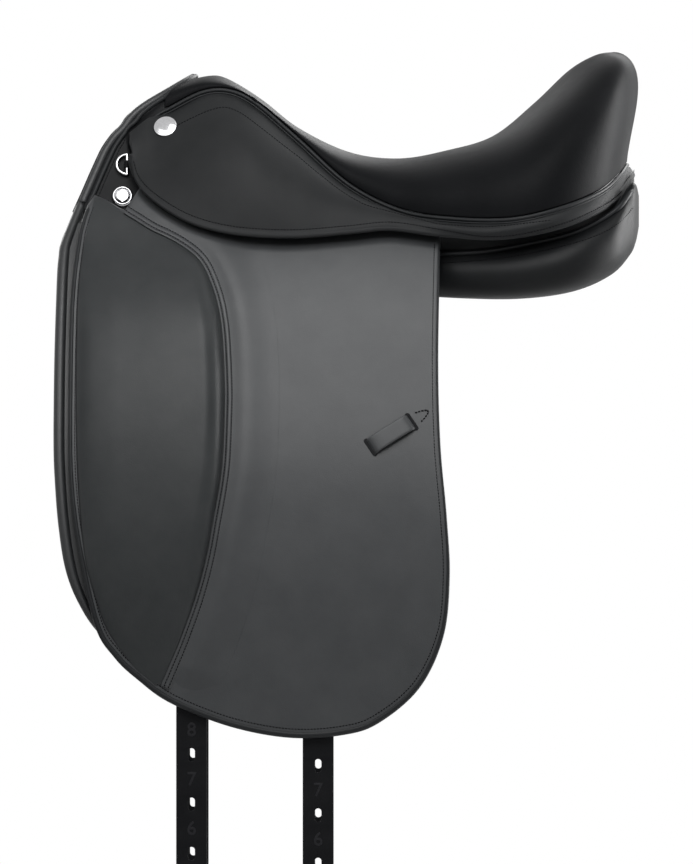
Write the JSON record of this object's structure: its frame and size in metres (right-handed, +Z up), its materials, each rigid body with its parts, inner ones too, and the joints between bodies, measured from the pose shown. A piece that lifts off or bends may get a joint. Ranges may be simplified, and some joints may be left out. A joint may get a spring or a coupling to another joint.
{
  "type": "dressage saddle",
  "caption": "Black leather dressage saddle with deep seat, long straight flaps that lift on a fold, outer knee blocks, stuffed panels, hinged girth straps and stirrup bars with opening catches.",
  "frame": {"origin": "on the centre plane, level with the bearing line of the panels, below the front of the seat", "axes": "+X towards the cantle, -X towards the pommel, +Z up, -Y is the near side"},
  "size_m": [0.5702, 0.5648, 1.0178],
  "materials": {
    "leather": "smooth black calf with a soft sheen",
    "seat_leather": "fine-grained black leather, slightly worn",
    "welt_leather": "black leather, stitched",
    "panel_leather": "soft black leather",
    "sweat_leather": "matt black leather",
    "strap_leather": "dense black strap leather with punched holes",
    "chrome": "nickel-plated, lightly scuffed",
    "steel": "satin forged steel",
    "copper": "copper rivets",
    "tree": "moulded synthetic tree",
    "foam": "seat foam",
    "webbing": "woven flax webbing"
  },
  "bodies": {
    "root": {"tree_frame": "tree", "gullet_plate": "steel", "tree_springs": "steel", "seat_webbing": "webbing", "seat_foam": "foam", "seat_cover": "seat_leather", "seat_welt": "welt_leather", "pommel_facing": "leather", "bar_rivets": "copper", "catch_pins": "steel", "screw_cups": "chrome", "panel_screws": "chrome", "pommel_nails": "chrome", "near_skirt": "leather", "off_skirt": "leather", "near_panel": "panel_leather", "off_panel": "panel_leather", "near_panel_gusset": "panel_leather", "off_panel_gusset": "panel_leather", "near_sweat_flap": "sweat_leather", "off_sweat_flap": "sweat_leather", "near_flap_head": "leather", "off_flap_head": "leather", "near_billet_keeper": "strap_leather", "off_billet_keeper": "strap_leather", "near_girth_web": "webbing", "off_girth_web": "webbing", "near_front_strap": "strap_leather", "off_front_strap": "strap_leather", "near_rear_strap": "strap_leather", "off_rear_strap": "strap_leather", "near_stirrup_bar": "steel", "off_stirrup_bar": "steel", "near_dee_chape": "strap_leather", "off_dee_chape": "strap_leather"},
    "near_flap": {"near_flap": "leather", "near_knee_block": "leather", "near_flap_welt": "welt_leather", "near_leather_keeper": "strap_leather"},
    "near_front_billet": {"near_front_billet": "strap_leather"},
    "near_rear_billet": {"near_rear_billet": "strap_leather"},
    "near_dee": {"near_dee_ring": "chrome"},
    "near_catch": {"near_bar_catch": "steel"},
    "off_flap": {"off_flap": "leather", "off_knee_block": "leather", "off_flap_welt": "welt_leather", "off_leather_keeper": "strap_leather"},
    "off_front_billet": {"off_front_billet": "strap_leather"},
    "off_rear_billet": {"off_rear_billet": "strap_leather"},
    "off_dee": {"off_dee_ring": "chrome"},
    "off_catch": {"off_bar_catch": "steel"}
  },
  "joints": [
    {"name": "near_flap_lift", "type": "hinge", "parent": "root", "child": "near_flap", "pos_m": [-0.09, -0.1433, 0.052], "axis": [-1, 0, 0], "range_deg": [0, 50]},
    {"name": "near_front_billet_swing", "type": "hinge", "parent": "root", "child": "near_front_billet", "pos_m": [-0.154, -0.2564, -0.433], "axis": [-1, 0, 0], "range_deg": [-30, 60]},
    {"name": "near_rear_billet_swing", "type": "hinge", "parent": "root", "child": "near_rear_billet", "pos_m": [-0.031, -0.2564, -0.433], "axis": [-1, 0, 0], "range_deg": [-30, 60]},
    {"name": "near_dee_swing", "type": "hinge", "parent": "root", "child": "near_dee", "pos_m": [-0.2175, -0.09037, 0.1296], "axis": [0, 0.309, 0.9511], "range_deg": [0, 85]},
    {"name": "near_catch_close", "type": "hinge", "parent": "root", "child": "near_catch", "pos_m": [-0.0845, -0.09964, 0.11947], "axis": [0, -0.9397, 0.342], "range_deg": [0, 90]},
    {"name": "off_flap_lift", "type": "hinge", "parent": "root", "child": "off_flap", "pos_m": [-0.09, 0.1433, 0.052], "axis": [1, 0, 0], "range_deg": [0, 50]},
    {"name": "off_front_billet_swing", "type": "hinge", "parent": "root", "child": "off_front_billet", "pos_m": [-0.154, 0.2564, -0.433], "axis": [1, 0, 0], "range_deg": [-30, 60]},
    {"name": "off_rear_billet_swing", "type": "hinge", "parent": "root", "child": "off_rear_billet", "pos_m": [-0.031, 0.2564, -0.433], "axis": [1, 0, 0], "range_deg": [-30, 60]},
    {"name": "off_dee_swing", "type": "hinge", "parent": "root", "child": "off_dee", "pos_m": [-0.2175, 0.09037, 0.1296], "axis": [0, 0.309, -0.9511], "range_deg": [0, 85]},
    {"name": "off_catch_close", "type": "hinge", "parent": "root", "child": "off_catch", "pos_m": [-0.0845, 0.09964, 0.11947], "axis": [0, -0.9397, -0.342], "range_deg": [0, 90]}
  ]
}
